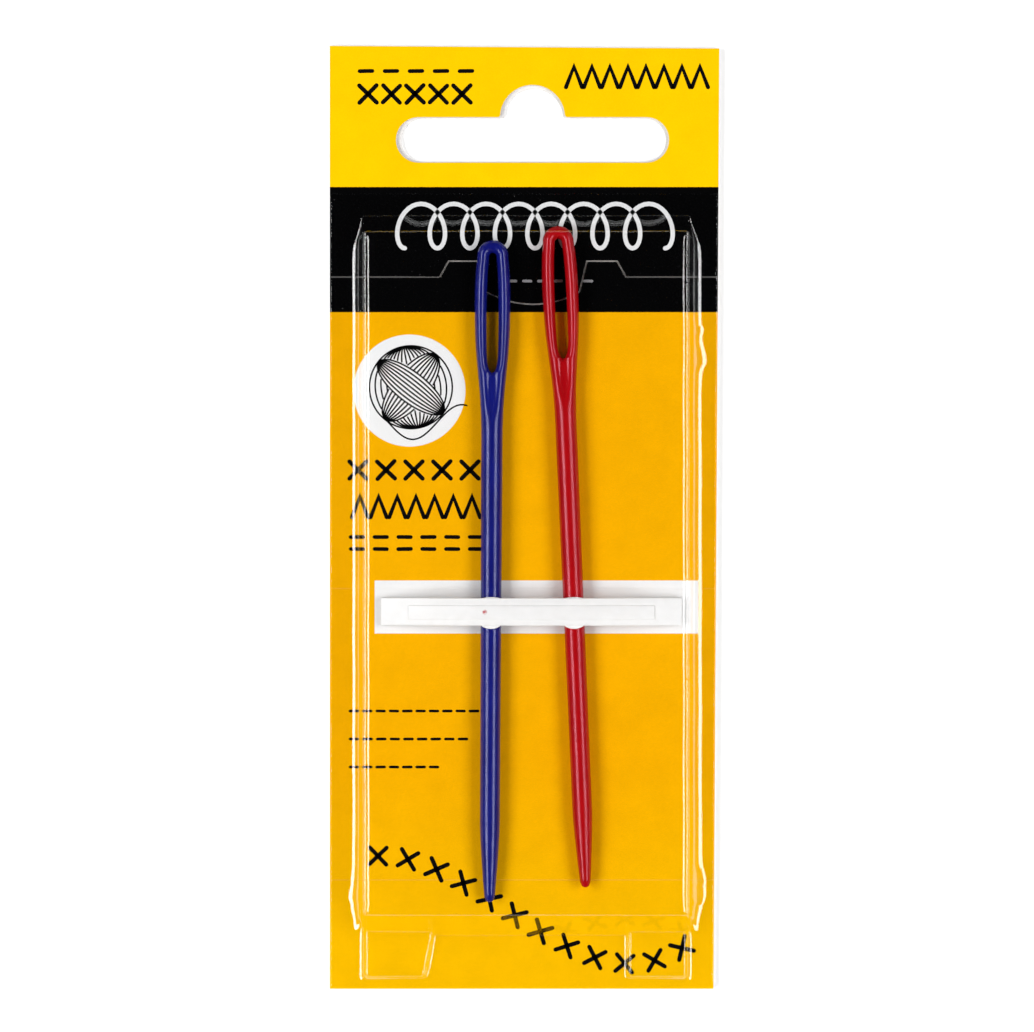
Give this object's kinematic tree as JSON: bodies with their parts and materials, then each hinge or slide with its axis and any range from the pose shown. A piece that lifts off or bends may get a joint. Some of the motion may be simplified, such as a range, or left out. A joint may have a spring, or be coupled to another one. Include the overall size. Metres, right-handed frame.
{
  "type": "carded yarn needles",
  "caption": "Hang card with plastic yarn needles held by a strap under a clear formed blister; long eyes, blunt round points.",
  "frame": {"origin": "middle of the card's back face, which lies on the table", "axes": "+X to the right of the printed face, +Y towards the hang slot, +Z out of the printed face"},
  "size_m": [0.0412, 0.0996, 0.0062],
  "materials": {
    "printed_board": "satin",
    "plain_board": "matte",
    "strap_white": "satin",
    "adhesive": "satin",
    "clear_sheet": "gloss",
    "blue_plastic": "gloss",
    "red_plastic": "gloss"
  },
  "bodies": {
    "card": {"front_card": "printed_board", "back_card": "plain_board", "needle_strap": "strap_white", "strap_glue": "adhesive"},
    "blister": {"blister_shell": "clear_sheet"},
    "blue_needle": {"blue_needle": "blue_plastic"},
    "red_needle": {"red_needle": "red_plastic"}
  },
  "joints": [
    {"name": "blister_lift", "type": "slide", "parent": "card", "child": "blister", "axis": [0, 0, 1], "range_m": [0, 0.02]},
    {"name": "blue_needle_slide", "type": "slide", "parent": "card", "child": "blue_needle", "axis": [-0.0052, -1, 0], "range_m": [-0.0013, 0.0019]},
    {"name": "red_needle_slide", "type": "slide", "parent": "card", "child": "red_needle", "axis": [0.0422, -0.9991, 0], "range_m": [0, 0.0035]}
  ]
}
